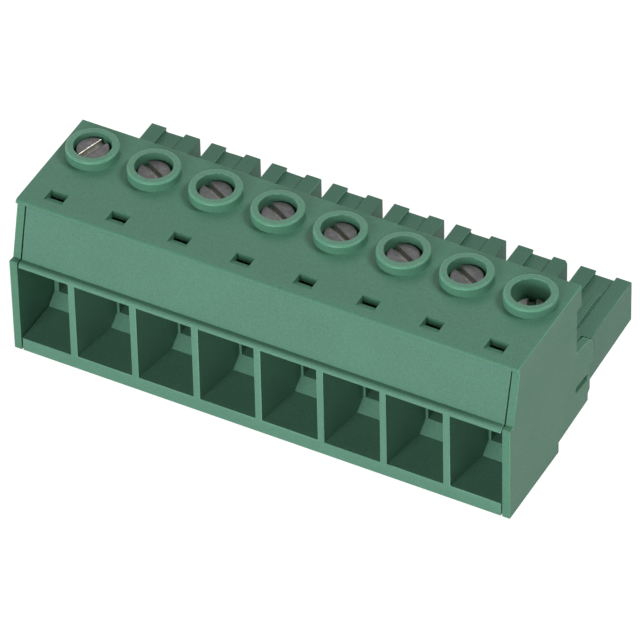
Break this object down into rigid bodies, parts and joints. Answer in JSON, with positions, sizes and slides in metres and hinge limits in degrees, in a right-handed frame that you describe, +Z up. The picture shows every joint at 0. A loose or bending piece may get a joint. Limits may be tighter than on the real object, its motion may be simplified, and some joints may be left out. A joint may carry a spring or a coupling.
{
  "type": "pluggable terminal block",
  "caption": "Green pluggable terminal block with slotted clamping screws in raised collars, open wire funnels at the front and separate contact fingers at the back.",
  "frame": {"origin": "bottom centre of the bounding box of the whole block", "axes": "+X along the row of poles, first pole at -X; -Y is the wire side, +Y the plug side; +Z up, out of the screw heads"},
  "size_m": [0.061, 0.0296, 0.0211],
  "materials": {
    "cover_green": "satin moulded polyamide, grey green",
    "base_green": "satin moulded polyamide, grey green",
    "screw_steel": "zinc plated, dull",
    "cage_steel": "nickel plated",
    "contact_tin": "tin plated"
  },
  "bodies": {
    "block": {"housing_cover": "cover_green", "base_housing": "base_green", "contact_1": "contact_tin", "contact_2": "contact_tin", "contact_3": "contact_tin", "contact_4": "contact_tin", "contact_5": "contact_tin", "contact_6": "contact_tin", "contact_7": "contact_tin", "contact_8": "contact_tin"},
    "screw_1": {"clamp_screw_1": "screw_steel"},
    "cage_1": {"clamp_cage_1": "cage_steel"},
    "screw_2": {"clamp_screw_2": "screw_steel"},
    "cage_2": {"clamp_cage_2": "cage_steel"},
    "screw_3": {"clamp_screw_3": "screw_steel"},
    "cage_3": {"clamp_cage_3": "cage_steel"},
    "screw_4": {"clamp_screw_4": "screw_steel"},
    "cage_4": {"clamp_cage_4": "cage_steel"},
    "screw_5": {"clamp_screw_5": "screw_steel"},
    "cage_5": {"clamp_cage_5": "cage_steel"},
    "screw_6": {"clamp_screw_6": "screw_steel"},
    "cage_6": {"clamp_cage_6": "cage_steel"},
    "screw_7": {"clamp_screw_7": "screw_steel"},
    "cage_7": {"clamp_cage_7": "cage_steel"},
    "screw_8": {"clamp_screw_8": "screw_steel"},
    "cage_8": {"clamp_cage_8": "cage_steel"}
  },
  "joints": [
    {"name": "screw_1_turn", "type": "hinge", "parent": "block", "child": "screw_1", "pos_m": [-0.02667, -0.0023, 0.02], "axis": [0, 0, -1], "range_deg": [0, 2340]},
    {"name": "cage_1_lift", "type": "slide", "parent": "block", "child": "cage_1", "axis": [0, 0, 1], "range_m": [0, 0.00325]},
    {"name": "screw_2_turn", "type": "hinge", "parent": "block", "child": "screw_2", "pos_m": [-0.01905, -0.0023, 0.02], "axis": [0, 0, -1], "range_deg": [0, 2340]},
    {"name": "cage_2_lift", "type": "slide", "parent": "block", "child": "cage_2", "axis": [0, 0, 1], "range_m": [0, 0.00325]},
    {"name": "screw_3_turn", "type": "hinge", "parent": "block", "child": "screw_3", "pos_m": [-0.01143, -0.0023, 0.02], "axis": [0, 0, -1], "range_deg": [0, 2340]},
    {"name": "cage_3_lift", "type": "slide", "parent": "block", "child": "cage_3", "axis": [0, 0, 1], "range_m": [0, 0.00325]},
    {"name": "screw_4_turn", "type": "hinge", "parent": "block", "child": "screw_4", "pos_m": [-0.00381, -0.0023, 0.02], "axis": [0, 0, -1], "range_deg": [0, 2340]},
    {"name": "cage_4_lift", "type": "slide", "parent": "block", "child": "cage_4", "axis": [0, 0, 1], "range_m": [0, 0.00325]},
    {"name": "screw_5_turn", "type": "hinge", "parent": "block", "child": "screw_5", "pos_m": [0.00381, -0.0023, 0.02], "axis": [0, 0, -1], "range_deg": [0, 2340]},
    {"name": "cage_5_lift", "type": "slide", "parent": "block", "child": "cage_5", "axis": [0, 0, 1], "range_m": [0, 0.00325]},
    {"name": "screw_6_turn", "type": "hinge", "parent": "block", "child": "screw_6", "pos_m": [0.01143, -0.0023, 0.02], "axis": [0, 0, -1], "range_deg": [0, 2340]},
    {"name": "cage_6_lift", "type": "slide", "parent": "block", "child": "cage_6", "axis": [0, 0, 1], "range_m": [0, 0.00325]},
    {"name": "screw_7_turn", "type": "hinge", "parent": "block", "child": "screw_7", "pos_m": [0.01905, -0.0023, 0.02], "axis": [0, 0, -1], "range_deg": [0, 2340]},
    {"name": "cage_7_lift", "type": "slide", "parent": "block", "child": "cage_7", "axis": [0, 0, 1], "range_m": [0, 0.00325]},
    {"name": "screw_8_turn", "type": "hinge", "parent": "block", "child": "screw_8", "pos_m": [0.02667, -0.0023, 0.02], "axis": [0, 0, -1], "range_deg": [0, 2340]},
    {"name": "cage_8_lift", "type": "slide", "parent": "block", "child": "cage_8", "axis": [0, 0, 1], "range_m": [0, 0.00325]}
  ],
  "couplings": [
    {"joint": "screw_1_turn", "follows": "cage_1_lift", "rad_per_m": 12566},
    {"joint": "screw_2_turn", "follows": "cage_2_lift", "rad_per_m": 12566},
    {"joint": "screw_3_turn", "follows": "cage_3_lift", "rad_per_m": 12566},
    {"joint": "screw_4_turn", "follows": "cage_4_lift", "rad_per_m": 12566},
    {"joint": "screw_5_turn", "follows": "cage_5_lift", "rad_per_m": 12566},
    {"joint": "screw_6_turn", "follows": "cage_6_lift", "rad_per_m": 12566},
    {"joint": "screw_7_turn", "follows": "cage_7_lift", "rad_per_m": 12566},
    {"joint": "screw_8_turn", "follows": "cage_8_lift", "rad_per_m": 12566}
  ]
}
